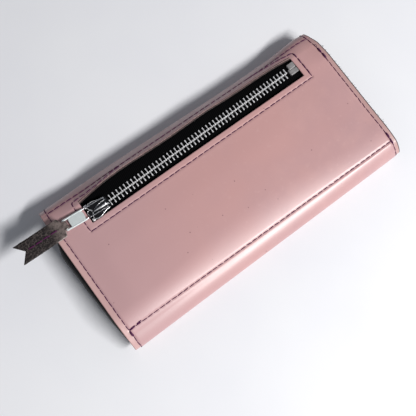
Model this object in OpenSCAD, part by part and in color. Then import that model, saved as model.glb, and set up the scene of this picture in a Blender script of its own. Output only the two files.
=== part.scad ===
// Long flap wallet with a zipped coin pocket in its back, lying on its flap.
// X runs along the wallet, Y from the bottom fold to the top fold, Z up.
// The origin is on the flap's outer face, under the middle of the back panel.

/* [Body] */
// Length of the leather, between its raw edges
body_l = 190; // [180:1:210]
// Height, from the bottom fold to the top fold
body_h = 92; // [92:1:100]
// Thickness when closed
body_t = 17; // [17:0.5:20]
// Thickness of the leather
leather_t = 1.4; // [1.2:0.1:1.4]
// Thickness of the lining and pocket cloth
cloth_t = 0.35; // [0.3:0.05:0.35]
// How far the side gussets bulge past the raw edges
gusset_bulge = 3.3; // [2:0.1:4]

/* [Flap] */
// How far the flap reaches down the front, from the top fold
flap_reach = 64; // [50:1:70]
// Corner radius of the flap's free edge
flap_corner_r = 14; // [5:1:25]
// Outer corner radius of the top fold
top_r = 3.6; // [3:0.2:4]
// Radius of the magnetic snap
snap_r = 7; // [5:0.5:8]

/* [Zip] */
// Length of the zip's window
window_l = 148; // [140:1:148]
// Distance between the teeth on one tape
tooth_pitch = 2.5; // [2.4:0.1:2.6]
// Tilt of the zip against the wallet's long side
zip_tilt = 1; // [0:0.5:1]
// Skew of the puller against the wallet's long side
puller_skew = 4.5; // [0:0.5:6]
// Length of the puller, between its two end bars
puller_l = 24.8; // [20:0.1:26]
// Width of the puller
puller_w = 6.6; // [6:0.1:7]
// Width of the leather pull tab
tab_w = 11; // [9:0.5:12]
// Length of the pull tab, from its loop to its tips
tab_l = 28.8; // [24:0.1:32]

/* [Hidden] */
$fn = 96;

pink = [0.77, 0.62, 0.61];
plum = [0.36, 0.20, 0.33];
black = [0.10, 0.10, 0.11];
dark_brown = [0.20, 0.15, 0.14];
silver = [0.75, 0.76, 0.78];
steel = [0.60, 0.61, 0.63];

// Levels through the closed wallet, from the flap up to the back panel
flap_gap = 0.3;
flap_lining_t = 0.4;
front_z = leather_t + flap_lining_t + flap_gap;
front_in_z = front_z + leather_t;
back_z = body_t - leather_t;
tape_t = 0.5;
tape_z = back_z - tape_t;
bag_z = 9.15;
bag_roof_z = tape_z;
divider_t = 0.3;
card_t = 0.3;

// The cover's outline, seen along X
half_h = body_h / 2;
fold_y = half_h - top_r;
bottom_r = (body_t - front_z) / 2;
bottom_y = bottom_r - half_h;
mid_z = front_z + bottom_r;
front_top_y = 39;
flap_end_y = fold_y - flap_reach;

// The zip's window: its upper edge is a shallow arc
window_low_y = 23.4;
window_end_y = 36.8;
window_bow = 3.4;
bow_r = (pow(window_l / 2, 2) + pow(window_bow, 2)) / (2 * window_bow);

// The bag, the card slots and the divider share this footprint
pocket_l = 168;
pocket_low_y = -33;
bag_top_y = 40.2;
mouth_l = 152;
mouth_low_y = 22.2;
mouth_high_y = 39.4;
card_top_y = [2, 14, 26];

// Side gussets
gusset_in_x = 88;
gusset_cloth_t = 0.55;
gusset_top_y = 40;
gusset_low_y = -38;
gusset_peak_y = 23;
gusset_steps = 12;
gusset_stations = 10;

// Magnetic snap, 10 mm in from the flap's edge
snap_y = flap_end_y + 10;
snap_boss_r = 2.8;
snap_hole_r = 3.3;
snap_washer_t = 0.3;
snap_disc_t = 0.7;

// The zip lies along its own axis, s, and spreads across it, t
zip_y = 29.6;
tape_w = 10.4;
tape_edge = 1;
tooth_slot = 0.8;
tape_end = 82;
parting_s = -62;
parting_slope = 0.3;
parting_end_s = -74;
tooth_w = 1.15;
tooth_tip = 0.9;
tooth_heel = 2.85;
tooth_z0 = 14.1;
tooth_z1 = 16.6;
last_tooth_s = 66.5;
teeth_end_s = -68.5;
teeth_in_row = 55;
top_stop_s = -72.2;
bottom_stop_s = 67.8;
bottom_stop_l = 6;

// Slider
slider_rear_s = -60.4;
slider_front_s = -73.3;
slider_front_half = 5;
slider_rear_half = 3.5;
slider_top_z = 17.05;
slider_plate_t = 0.8;
slider_low_z = 12.95;
slider_low_t = 0.9;
flange_s = -66;
flange_in = 3;
flange_spread = 1.25;
lip_z0 = 14.8;
lip_z1 = 15.9;
crown_half = 0.9;
crown_top_z = 20.6;

// Puller and pull tab: both turn on round bars at this height
pivot_s = -62;
pivot_z = 18.6;
bar_r = 0.65;
end_bar_r = 0.6;
puller_t = 1.2;
puller_open_half = 2.35;
plate_u0 = 14;
plate_u1 = 21.8;
tab_neck_w = 4.4;
tab_loop_r = 0.7;
tab_loop_t = 0.7;
tab_t = 2.2;
tab_notch = 4.5;
tab_skew = 1;

// Thread
stitch_pitch = 3.9;
stitch_l = 3.2;
stitch_w = 0.8;
stitch_t = 0.3;
edge_seam_x = 91.5;
top_seam_y = 41.8;
bottom_seam_y = -36;
window_seam_x = 77.6;
window_seam_y = 20;
window_seam_top_y = 38.6;

// Extrudes an outline drawn in Y and Z along X
module along_x(length) {
    rotate([90, 0, 90]) linear_extrude(height = length, center = true) children();
}

// A slab between two corners
module slab(low, high) {
    translate(low) cube(high - low);
}

// Places what is drawn in the zip's own axes
module on_zip() {
    translate([0, zip_y, 0]) rotate([0, 0, zip_tilt]) children();
}

// A straight seam of single stitches on a level surface
module seam(from, to, z, high = stitch_t) {
    run = norm(to - from);
    count = floor(run / stitch_pitch);
    angle = atan2(to[1] - from[1], to[0] - from[0]);
    for (i = [0 : count - 1]) {
        at = from + (to - from) * (i + 0.5) / count;
        translate([at[0], at[1], z + high / 2]) rotate([0, 0, angle])
            cube([stitch_l, stitch_w, high], center = true);
    }
}

// ---- Wallet body ----

module cover_profile() {
    translate([bottom_y, front_z]) square([front_top_y - bottom_y, leather_t]);
    translate([bottom_y, back_z]) square([fold_y - bottom_y, leather_t]);
    intersection() {
        translate([bottom_y, mid_z]) difference() {
            circle(r = bottom_r);
            circle(r = bottom_r - leather_t);
        }
        translate([-body_h, 0]) square([body_h + bottom_y, body_t]);
    }
}

module window_cut() {
    intersection() {
        slab([-window_l / 2, window_low_y, back_z - 1], [window_l / 2, half_h, body_t + 1]);
        translate([0, window_end_y + window_bow - bow_r, back_z - 1])
            cylinder(r = bow_r, h = leather_t + 2, $fn = 720);
    }
}

module outer_cover() {
    color(pink) difference() {
        along_x(body_l) cover_profile();
        window_cut();
        translate([0, snap_y, front_z - 1]) cylinder(r = snap_r, h = leather_t + 2);
    }
}

module front_lining() {
    color(black) difference() {
        slab([-gusset_in_x, bottom_y, front_in_z],
             [gusset_in_x, front_top_y, front_in_z + cloth_t]);
        translate([0, snap_y, front_in_z - 1]) cylinder(r = snap_r, h = cloth_t + 2);
    }
}

module pocket_divider() {
    color(black)
        slab([-pocket_l / 2, pocket_low_y, bag_z - divider_t], [pocket_l / 2, 38, bag_z]);
}

// Two card pockets side by side; row 1 is the lowest and shortest
module card_slot_row(row) {
    z = bag_z - divider_t - (4 - row) * card_t;
    color(black) for (side = [-1, 1]) translate([side * pocket_l / 4, 0, 0])
        slab([-pocket_l / 4 + 1.5, pocket_low_y, z],
             [pocket_l / 4 - 1.5, card_top_y[row - 1], z + card_t]);
}

// The coin bag is two cloth panels with a narrow strip round their edges
module coin_bag_inner_panel() {
    color(black)
        slab([-pocket_l / 2, pocket_low_y, bag_z], [pocket_l / 2, bag_top_y, bag_z + cloth_t]);
}

module coin_bag_outer_panel() {
    color(black) difference() {
        slab([-pocket_l / 2, pocket_low_y, bag_roof_z - cloth_t],
             [pocket_l / 2, bag_top_y, bag_roof_z]);
        slab([-mouth_l / 2, mouth_low_y, bag_roof_z - 1], [mouth_l / 2, mouth_high_y, bag_roof_z + 1]);
    }
}

module coin_bag_side_strip() {
    color(black) difference() {
        slab([-pocket_l / 2, pocket_low_y, bag_z + cloth_t],
             [pocket_l / 2, bag_top_y, bag_roof_z - cloth_t]);
        slab([-pocket_l / 2 + cloth_t, pocket_low_y + cloth_t, bag_z],
             [pocket_l / 2 - cloth_t, bag_top_y - cloth_t, bag_roof_z]);
    }
}

// How far the gusset bulges at a height up the wallet
function bulge(y) = y > gusset_peak_y
    ? gusset_bulge * (1 - 0.8 * pow((y - gusset_peak_y) / (gusset_top_y - gusset_peak_y), 2))
    : gusset_bulge * (0.12 + 0.88 * (y - gusset_low_y) / (gusset_peak_y - gusset_low_y));

// Outline of a pleated gusset at one station: its two sewn edges and the bulge between
function gusset_ring(y) = let (
        half = (back_z - front_in_z) / 2,
        z = front_in_z + half,
        x = body_l / 2 - 0.4,
        b = bulge(y))
    concat(
        [[gusset_in_x, y, z - half]],
        [for (i = [0 : gusset_steps]) let (a = 180 * i / gusset_steps)
            [x + b * sin(a), y, z - half * cos(a)]],
        [[gusset_in_x, y, z + half], [gusset_in_x, y, z + half - gusset_cloth_t]],
        [for (i = [gusset_steps : -1 : 0]) let (a = 180 * i / gusset_steps)
            [x - gusset_cloth_t + b * sin(a), y, z - (half - gusset_cloth_t) * cos(a)]],
        [[gusset_in_x, y, z - half + gusset_cloth_t]]);

module gusset() {
    rings = [for (i = [0 : gusset_stations])
        gusset_ring(gusset_low_y + (gusset_top_y - gusset_low_y) * i / gusset_stations)];
    n = len(rings[0]);
    last = gusset_stations * n;
    points = [for (ring = rings) for (p = ring) p];
    sides = [for (i = [0 : gusset_stations - 1]) for (k = [0 : n - 1])
        let (a = i * n + k, b = i * n + (k + 1) % n)
        for (face = [[a, b, b + n], [a, b + n, a + n]]) face];
    // Each end is a strip between the outer and the inner outline
    ends = [for (k = [0 : n / 2 - 2]) let (m = n - 1 - k)
        for (face = [[k, m, m - 1], [k, m - 1, k + 1],
                     [last + k, last + m - 1, last + m], [last + k, last + k + 1, last + m - 1]])
            face];
    color(black) polyhedron(points = points, faces = concat(sides, ends), convexity = 4);
}

module gusset_right() {
    gusset();
}

module gusset_left() {
    mirror([1, 0, 0]) gusset();
}

module snap_socket() {
    color(silver) translate([0, snap_y, front_z]) difference() {
        cylinder(r = snap_r, h = leather_t);
        translate([0, 0, -1]) cylinder(r = snap_hole_r, h = leather_t + 2);
    }
}

module snap_socket_washer() {
    color(steel) translate([0, snap_y, front_in_z]) cylinder(r = snap_r - 1, h = snap_washer_t);
}

// ---- Zip ----

// Outline of the upper tape; its inner edges part in front of the slider
module tape_outline() {
    parting = parting_slope * (parting_s - parting_end_s);
    polygon([[tape_end, tape_edge], [parting_s, tape_edge], [parting_end_s, tape_edge + parting],
             [-tape_end, tape_edge + parting], [-tape_end, tape_w], [tape_end, tape_w]]);
}

module zip_tape(side) {
    color(black) on_zip() mirror([0, side < 0 ? 1 : 0, 0])
        translate([0, 0, tape_z]) linear_extrude(height = tape_t) tape_outline();
}

module zip_tape_upper() {
    zip_tape(1);
}

module zip_tape_lower() {
    zip_tape(-1);
}

// One tooth, clamped round the edge of its tape
module tooth() {
    rotate([90, 0, 90]) linear_extrude(height = tooth_w, center = true) polygon([
        [-tooth_tip, tooth_z0 + 0.3], [-tooth_tip + 0.4, tooth_z0], [tooth_heel - 0.4, tooth_z0],
        [tooth_heel, tooth_z0 + 0.4], [tooth_heel, tape_z], [tooth_slot, tape_z],
        [tooth_slot, back_z], [tooth_heel, back_z], [tooth_heel, tooth_z1 - 0.4],
        [tooth_heel - 0.4, tooth_z1], [-tooth_tip + 0.4, tooth_z1], [-tooth_tip, tooth_z1 - 0.3]]);
}

module zip_teeth(side) {
    color(silver) on_zip() mirror([0, side < 0 ? 1 : 0, 0])
        for (i = [0 : teeth_in_row - 1]) {
            s = last_tooth_s - (i + (side < 0 ? 0.5 : 0)) * tooth_pitch;
            if (s > teeth_end_s)
                translate([s, parting_slope * max(0, parting_s - s), 0]) tooth();
        }
}

module zip_teeth_upper() {
    zip_teeth(1);
}

module zip_teeth_lower() {
    zip_teeth(-1);
}

// Two halves of a stop clamp the tape from above and below
module clamp_pair(size) {
    translate([0, 0, tooth_z0 + 0.2]) linear_extrude(height = tape_z - tooth_z0 - 0.2)
        square(size, center = true);
    translate([0, 0, back_z]) linear_extrude(height = tooth_z1 - back_z) square(size, center = true);
}

module zip_top_stops() {
    edge = tape_edge + parting_slope * (parting_s - top_stop_s);
    color(silver) on_zip() for (side = [-1, 1])
        translate([top_stop_s, side * edge, 0]) clamp_pair([2.2, 1.6]);
}

module zip_bottom_stop() {
    color(steel) on_zip() translate([bottom_stop_s + bottom_stop_l / 2, 0, 0]) {
        clamp_pair([bottom_stop_l, 2 * tooth_heel]);
        slab([-bottom_stop_l / 2, -tape_edge, tape_z], [bottom_stop_l / 2, tape_edge, back_z]);
    }
}

// ---- Stitches ----

module edge_stitches(side) {
    x = side * edge_seam_x;
    color(plum) {
        seam([x, bottom_y], [x, fold_y - 0.4], body_t);
        seam([x, bottom_y], [x, flap_end_y - 1], front_z - stitch_t);
    }
}

module stitch_left_edge() {
    edge_stitches(-1);
}

module stitch_right_edge() {
    edge_stitches(1);
}

module stitch_top_seam() {
    color(plum) seam([-edge_seam_x + 1, top_seam_y], [edge_seam_x - 1, top_seam_y], body_t);
}

module stitch_bottom_seam() {
    color(plum) seam([-edge_seam_x + 1, bottom_seam_y], [edge_seam_x - 1, bottom_seam_y], body_t);
}

module stitch_window() {
    color(plum) {
        seam([-window_seam_x, window_seam_y], [window_seam_x, window_seam_y], body_t);
        for (side = [-1, 1])
            seam([side * window_seam_x, window_seam_y + 1],
                 [side * window_seam_x, window_seam_top_y], body_t);
    }
}

// ---- Top fold and flap ----

module flap_fold_leather() {
    color(pink) fold_shell(0, leather_t);
}

module flap_fold_lining() {
    color(black) fold_shell(leather_t, leather_t + flap_lining_t);
}

// A layer of the top fold: two quarter rings and the wall between them
module fold_shell(outer, inner) {
    along_x(body_l) {
        for (top = [0, 1]) translate([fold_y, top * body_t]) mirror([0, top])
            intersection() {
                translate([0, top_r]) difference() {
                    circle(r = top_r - outer);
                    circle(r = top_r - inner);
                }
                square([top_r, top_r]);
            }
        translate([half_h - inner, top_r]) square([inner - outer, body_t - 2 * top_r]);
    }
}

module stitch_flap_fold() {
    count = 2;
    color(plum) for (side = [-1, 1]) for (i = [0 : count - 1])
        translate([side * edge_seam_x, half_h, body_t / 2 + (i - 0.5) * stitch_pitch])
            translate([-stitch_w / 2, 0, -stitch_l / 2]) cube([stitch_w, stitch_t, stitch_l]);
}

// Outline of the flap, with its free corners rounded
module flap_outline(inset = 0) {
    r = flap_corner_r - inset;
    w = body_l / 2 - inset;
    y0 = flap_end_y + inset;
    translate([-w, y0 + r]) square([2 * w, fold_y - y0 - r]);
    translate([r - w, y0]) square([2 * (w - r), r + 0.01]);
    for (side = [-1, 1]) translate([side * (w - r), y0 + r]) circle(r = r);
}

module flap_leather() {
    color(pink) difference() {
        linear_extrude(height = leather_t) flap_outline();
        translate([0, snap_y, leather_t - snap_washer_t - snap_disc_t + flap_lining_t])
            cylinder(r = snap_r, h = leather_t);
    }
}

module flap_lining() {
    color(black) translate([0, 0, leather_t]) difference() {
        linear_extrude(height = flap_lining_t) flap_outline(0.5);
        translate([0, snap_y, -1]) cylinder(r = snap_r, h = flap_lining_t + 2);
    }
}

module stitch_flap() {
    z = leather_t + flap_lining_t;
    y = flap_end_y + flap_corner_r;
    high = flap_gap - 0.1;
    inset = body_l / 2 - edge_seam_x;
    x = body_l / 2 - flap_corner_r;
    color(plum) {
        for (side = [-1, 1]) seam([side * edge_seam_x, y], [side * edge_seam_x, fold_y - 1], z, high);
        seam([-x, flap_end_y + inset], [x, flap_end_y + inset], z, high);
    }
}

module snap_stud_washer() {
    z = leather_t + flap_lining_t - snap_disc_t - snap_washer_t;
    color(steel) translate([0, snap_y, z]) cylinder(r = snap_r - 1, h = snap_washer_t);
}

module snap_stud() {
    z = leather_t + flap_lining_t - snap_disc_t;
    color(silver) translate([0, snap_y, z]) {
        cylinder(r = snap_r - 0.1, h = snap_disc_t);
        cylinder(r = snap_boss_r, h = snap_disc_t + flap_gap + 1);
    }
}

// ---- Slider, puller and pull tab ----

// Top or bottom plate, with two wings at the front and a notch between them
module slider_outline() {
    wide = slider_front_half;
    slim = slider_rear_half;
    f = slider_front_s;
    r = slider_rear_s;
    polygon([
        [r, -slim + 1], [r, slim - 1], [r - 1, slim], [r - 2, slim + 0.05], [r - 5, wide - 0.3],
        [f + 3, wide], [f + 0.8, wide - 0.3], [f, wide - 1.4], [f + 1.6, 1.2], [f + 2, 0],
        [f + 1.6, -1.2], [f, -wide + 1.4], [f + 0.8, -wide + 0.3], [f + 3, -wide],
        [r - 5, -wide + 0.3], [r - 2, -slim - 0.05], [r - 1, -slim]]);
}

// Side lips that hold the teeth in; they spread towards the front
module slider_lips() {
    for (side = [-1, 1]) mirror([0, side < 0 ? 1 : 0, 0]) polygon([
        [slider_rear_s - 1.2, flange_in], [parting_s, flange_in],
        [flange_s, flange_in + flange_spread], [flange_s, flange_in + flange_spread + 0.3],
        [parting_s, slider_rear_half - 0.1], [slider_rear_s - 1.2, slider_rear_half - 0.1]]);
}

// The post between the plates that parts the teeth
module slider_post() {
    polygon([[-66.9, 0], [-67.6, 0.4], [-70.8, 1.25], [-71.1, 0.9], [-71.1, -0.9],
             [-70.8, -1.25], [-67.6, -0.4]]);
}

module slider_body() {
    low_top_z = slider_low_z + slider_low_t;
    color(silver) on_zip() {
        translate([0, 0, slider_top_z]) linear_extrude(height = slider_plate_t) slider_outline();
        translate([0, 0, slider_low_z]) linear_extrude(height = slider_low_t) slider_outline();
        translate([0, 0, lip_z1]) linear_extrude(height = slider_top_z - lip_z1) slider_lips();
        translate([0, 0, low_top_z]) linear_extrude(height = lip_z0 - low_top_z) slider_lips();
        translate([0, 0, low_top_z]) linear_extrude(height = slider_top_z - low_top_z) slider_post();
    }
}

// Bridge over the puller's bar, standing on the slider's top plate
module slider_crown() {
    z0 = slider_top_z + slider_plate_t;
    roof_z = crown_top_z - 0.95;
    color(silver) on_zip() rotate([90, 0, 0]) linear_extrude(height = 2 * crown_half, center = true)
        difference() {
            polygon([[-71.2, z0], [-70.6, z0 + 1], [-67.6, crown_top_z - 0.3], [-66, crown_top_z],
                     [-62.6, crown_top_z], [-61, crown_top_z - 0.5], [-60.4, crown_top_z - 1.4],
                     [-60.4, z0]]);
            polygon([[-68.6, z0 - 0.01], [-67, roof_z - 0.3], [-66.2, roof_z], [-62.8, roof_z],
                     [-61.4, roof_z - 0.5], [-61.15, roof_z - 1], [-61.15, z0 - 0.01]]);
        }
}

// Places what is drawn from the puller's pivot, u along the puller
module on_puller() {
    on_zip() translate([pivot_s, 0, pivot_z]) rotate([0, 0, 180 - puller_skew - zip_tilt])
        children();
}

module cross_bar(u, r, half) {
    translate([u, 0, 0]) rotate([90, 0, 0]) cylinder(r = r, h = 2 * half, center = true, $fn = 48);
}

module puller_frame() {
    half = puller_w / 2;
    color(silver) on_puller() {
        for (side = [-1, 1]) translate([0, side * (half + puller_open_half) / 2, 0])
            translate([0, -(half - puller_open_half) / 2, -puller_t / 2])
                cube([puller_l, half - puller_open_half, puller_t]);
        slab([plate_u0, -puller_open_half, -puller_t / 2], [plate_u1, puller_open_half, puller_t / 2]);
        cross_bar(0, bar_r, half);
        cross_bar(puller_l, end_bar_r, half);
    }
}

// Places what is drawn from the pull tab's loop
module on_tab() {
    on_puller() translate([puller_l, 0, 0]) rotate([0, 0, puller_skew - tab_skew]) children();
}

module tab_outline() {
    w = tab_w / 2;
    n = tab_neck_w / 2;
    polygon([[2, -n], [5.5, -w], [tab_l, -w], [tab_l - tab_notch, 0], [tab_l, w], [5.5, w], [2, n]]);
}

module pull_tab_leather() {
    loop_out = tab_loop_r + tab_loop_t;
    color(dark_brown) {
        on_puller() translate([puller_l, 0, 0]) rotate([90, 0, 0])
            linear_extrude(height = tab_neck_w, center = true) difference() {
                union() {
                    circle(r = loop_out, $fn = 48);
                    translate([0, -loop_out]) square([2.6, 2 * loop_out]);
                }
                circle(r = tab_loop_r, $fn = 48);
                translate([0, -tab_loop_r]) square([1.6, 2 * tab_loop_r]);
            }
        on_tab() translate([0, 0, -tab_t / 2]) linear_extrude(height = tab_t) tab_outline();
    }
}

module stitch_pull_tab() {
    color(plum) on_tab() seam([5, 0], [tab_l - tab_notch - 1, 0], tab_t / 2, 0.25);
}

outer_cover();
front_lining();
pocket_divider();
coin_bag_inner_panel();
coin_bag_outer_panel();
coin_bag_side_strip();
card_slot_row(1);  // card_slot_row_1
card_slot_row(2);  // card_slot_row_2
card_slot_row(3);  // card_slot_row_3
gusset_left();
gusset_right();
snap_socket();
snap_socket_washer();
zip_tape_upper();
zip_tape_lower();
zip_teeth_upper();
zip_teeth_lower();
zip_top_stops();
zip_bottom_stop();
stitch_left_edge();
stitch_right_edge();
stitch_top_seam();
stitch_bottom_seam();
stitch_window();
flap_fold_leather();
flap_fold_lining();
stitch_flap_fold();
flap_leather();
flap_lining();
stitch_flap();
snap_stud();
snap_stud_washer();
slider_body();
slider_crown();
puller_frame();
pull_tab_leather();
stitch_pull_tab();
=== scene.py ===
"""Looks of a long leather flap wallet that lies on its flap, with a zipped pocket in its back.

Lengths are in millimetres until make_mesh() turns them into metres. X runs along the wallet, Y
from the bottom fold to the top fold, Z up. The outer cover and the flap are each one piece of
leather, drawn as a grid of rows (across the wallet) and columns (along it).
"""
import math

import bpy
import numpy as np
from mathutils import Matrix, Vector


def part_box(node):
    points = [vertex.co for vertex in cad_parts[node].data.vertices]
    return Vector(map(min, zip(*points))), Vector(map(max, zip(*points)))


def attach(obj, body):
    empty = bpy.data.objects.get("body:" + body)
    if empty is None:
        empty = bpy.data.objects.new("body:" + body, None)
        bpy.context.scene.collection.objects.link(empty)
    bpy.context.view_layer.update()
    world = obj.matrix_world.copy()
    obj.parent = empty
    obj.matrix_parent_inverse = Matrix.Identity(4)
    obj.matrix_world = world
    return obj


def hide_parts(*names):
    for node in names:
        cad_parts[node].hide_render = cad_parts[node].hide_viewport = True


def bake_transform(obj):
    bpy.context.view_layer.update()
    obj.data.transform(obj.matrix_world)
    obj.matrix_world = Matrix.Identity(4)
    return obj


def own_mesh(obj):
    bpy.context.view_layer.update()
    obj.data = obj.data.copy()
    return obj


MM = 0.001
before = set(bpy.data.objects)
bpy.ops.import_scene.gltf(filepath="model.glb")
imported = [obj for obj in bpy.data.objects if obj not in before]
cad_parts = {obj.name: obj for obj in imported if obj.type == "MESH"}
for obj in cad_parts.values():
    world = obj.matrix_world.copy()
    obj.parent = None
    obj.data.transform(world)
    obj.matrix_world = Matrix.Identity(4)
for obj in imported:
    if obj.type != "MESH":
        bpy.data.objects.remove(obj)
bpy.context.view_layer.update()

# ---- Sizes, taken from the frame where it holds them ----


def node_box(name):
    """A CAD node's lowest and highest corners, in millimetres."""
    low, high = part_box(name)
    return np.array(low) / MM, np.array(high) / MM


COVER_LOW, COVER_HIGH = node_box("outer_cover")
FOLD_LOW, FOLD_HIGH = node_box("flap_fold_leather")
HALF_L = COVER_HIGH[0]
TOP_Z = COVER_HIGH[2]
FRONT_Z = COVER_LOW[2]
BOTTOM_Y = COVER_LOW[1]
TOP_Y = FOLD_HIGH[1]
HINGE_Y = FOLD_LOW[1]
FLAP_END_Y = node_box("flap_leather")[0][1]
LEATHER_T = 1.4
MID_Z = TOP_Z / 2
FRONT_TOP_Y = 39.0

EDGE_SEAM_X = 91.5
TOP_SEAM_Y = 42.0
WINDOW_X = 74.0
WINDOW_LOW_Y = 23.5
WINDOW_SEAM_X = 77.6
WINDOW_SEAM_Y = 20.0
FOLD_START_Y = 40.6
BOTTOM_FOLD_Y = -38.5
STITCH_PITCH = 3.9
STITCH_L = 3.8

ZIP_Y = 29.6
ZIP_TILT = math.radians(1.0)
TAPE_Z = 15.6
TOOTH_PITCH = 2.5
PIVOT_S = -62.0
PIVOT_Z = 18.6
PULLER_L = 24.8
PULLER_SKEW = math.radians(4.5)
TAB_SKEW = math.radians(1.0)

# Rows of the cover's grid: part way round the bottom fold, and the start of the back panel
PAST_FRONT_ROW = 60
BACK_ROW = 95

# In front of this place along the zip the tapes lie fully apart
TAPE_FREE_S = -74.2
TAPE_FREE_GAP = 3.66

# Places in a shell's list of materials
CUT, INNER, DARK_EDGE_AND_SHADE = 1, 2, 3

RNG = np.random.default_rng(7)


def ease(t):
    """Smoothstep from 0 to 1."""
    t = np.clip(t, 0.0, 1.0)
    return t * t * (3.0 - 2.0 * t)


# ---- Shape of the leather ----


def bottom_seam_y(x):
    """The bottom seam isn't quite parallel to the fold."""
    return -36.0 - 1.15 * x / EDGE_SEAM_X


def window_top_y(x):
    """The window's upper edge bows up and waves a little."""
    u = np.clip(x / WINDOW_X, -1.0, 1.0)
    bow = 36.8 + 2.6 * (1.0 - np.abs(u) ** 5)
    wave = 0.75 * np.exp(-(((x + 54.0) / 17.0) ** 2)) + 0.22 * np.sin(x / 8.5) * (1.0 - u * u)
    return np.minimum(bow + wave - 0.5 * ease((x - 10.0) / 20.0) * (1.0 - u ** 6), 40.2)


def groove(distance, along, depth=0.34):
    """A seam's groove; the leather puckers up a little between two stitches."""
    pucker = 0.82 + 0.18 * np.cos(2.0 * math.pi * along / STITCH_PITCH)
    return -depth * pucker * np.exp(-((distance / 0.62) ** 2))


def strip_slope(x):
    """How steeply the strip between the window and the top fold falls; flatter at both ends."""
    return 0.14 + 0.80 * ease((x + 94.0) / 34.0) * ease((86.0 - x) / 30.0)


def back_z(x, y):
    """Height of the back panel's outer face."""
    ends = ease((EDGE_SEAM_X - np.abs(x)) / 16.0)
    above = y - bottom_seam_y(x)
    low = ease(above / 27.0)
    puff = 0.45 * ends * low * (1.0 - ease((y - 2.0) / 18.0))
    puff += 0.14 * np.sin(x / 23.0 + 0.6) * np.cos(y / 15.0) * ends * low
    reach = 14.0 + 3.0 * np.cos(x / 27.0)
    depth = 2.5 - 1.5 * ease((x - 5.0) / 80.0)
    roll = -depth * np.maximum(1.0 - above / reach, 0.0) ** 2 - 0.45 * (1.0 - ends) * low
    corner = -2.8 * ease((x - 60.0) / 34.0) * ease((y - 24.0) / 21.0)
    left_corner = -0.7 * ease((-x - 76.0) / 18.0) * ease((y - 30.0) / 14.0)
    past = np.maximum(0.0, y - window_top_y(x) + 1.0)
    strip = -strip_slope(x) * past * past / (past + 0.4)
    return TOP_Z + 0.1 + puff + roll + corner + left_corner + strip


def fold_y(x):
    """How far the top fold reaches; it waves a little along its length."""
    return TOP_Y + 0.7 * np.cos((x + 60.0) * math.pi / 105.0) + 1.0 * ease((x - 64.0) / 24.0)


def rounded_corner(grid):
    """The leather is cut round where the top fold meets the right edge."""
    x, y = grid[..., 0].copy(), grid[..., 1].copy()
    out = np.clip((x - 83.0) / 12.0, 0.0, 1.0)
    grid[..., 1] -= 0.9 * out ** 2 * ease((y - 33.0) / 11.0)
    grid[..., 0] -= 1.5 * out ** 2 * ease((y - 36.0) / 10.0)
    return grid


def top_roll(x, up, t, leans=True):
    """Points of the top fold, from the panel at t = 0 to half way down its height at t = 1."""
    u = math.sin(t * math.pi / 2)
    y = FOLD_START_Y + (fold_y(x) - FOLD_START_Y) * u
    lean = np.clip(strip_slope(x) * 0.75, 0.0, 0.9) * float(leans)
    z = MID_Z + (up - MID_Z) * math.sqrt(max(1.0 - u * u, 0.0)) * (1.0 - lean * u)
    return y, z


def back_grooves(x, y):
    """All seam grooves and the pressed margin outside the edge seams."""
    z = groove(y - bottom_seam_y(x), x) * ease((EDGE_SEAM_X + 1 - np.abs(x)) / 1.0)
    z = z + groove(np.abs(x) - EDGE_SEAM_X, y)
    z = z + groove(y - TOP_SEAM_Y, x, 0.28)
    inside = ease((WINDOW_SEAM_X + 0.6 - np.abs(x)) / 0.8)
    z = z + groove(y - WINDOW_SEAM_Y, x, 0.3) * inside
    beside = ease((y - WINDOW_SEAM_Y + 0.6) / 0.8) * ease((39.4 - y) / 0.8)
    z = z + groove(np.abs(x) - WINDOW_SEAM_X, y, 0.3) * beside
    return z - 0.28 * ease((np.abs(x) - EDGE_SEAM_X) / 1.2)


def under_cover(x, y, gap=0.0):
    """The highest that something inside may reach without showing through the back panel."""
    return back_z(x, y) - LEATHER_T - 0.42 - gap


def graded(start, end, count, grade=0.75):
    """Fractions from start to end, closer together at both ends. The end isn't included."""
    t = np.arange(count) / count
    t = grade * (1.0 - np.cos(math.pi * t)) / 2.0 + (1.0 - grade) * t
    return start + (end - start) * t


def columns(window_count=150):
    """Places along X, with a column on every seam and on the window's ends."""
    right = [graded(WINDOW_X, WINDOW_SEAM_X, 8, 0.3), graded(WINDOW_SEAM_X, EDGE_SEAM_X, 22),
             graded(EDGE_SEAM_X, HALF_L, 9, 0.4), [HALF_L]]
    right = np.concatenate(right)
    middle = graded(-WINDOW_X, WINDOW_X, window_count, 0.35)[1:]
    return np.concatenate([-right[::-1], middle, right])


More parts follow.
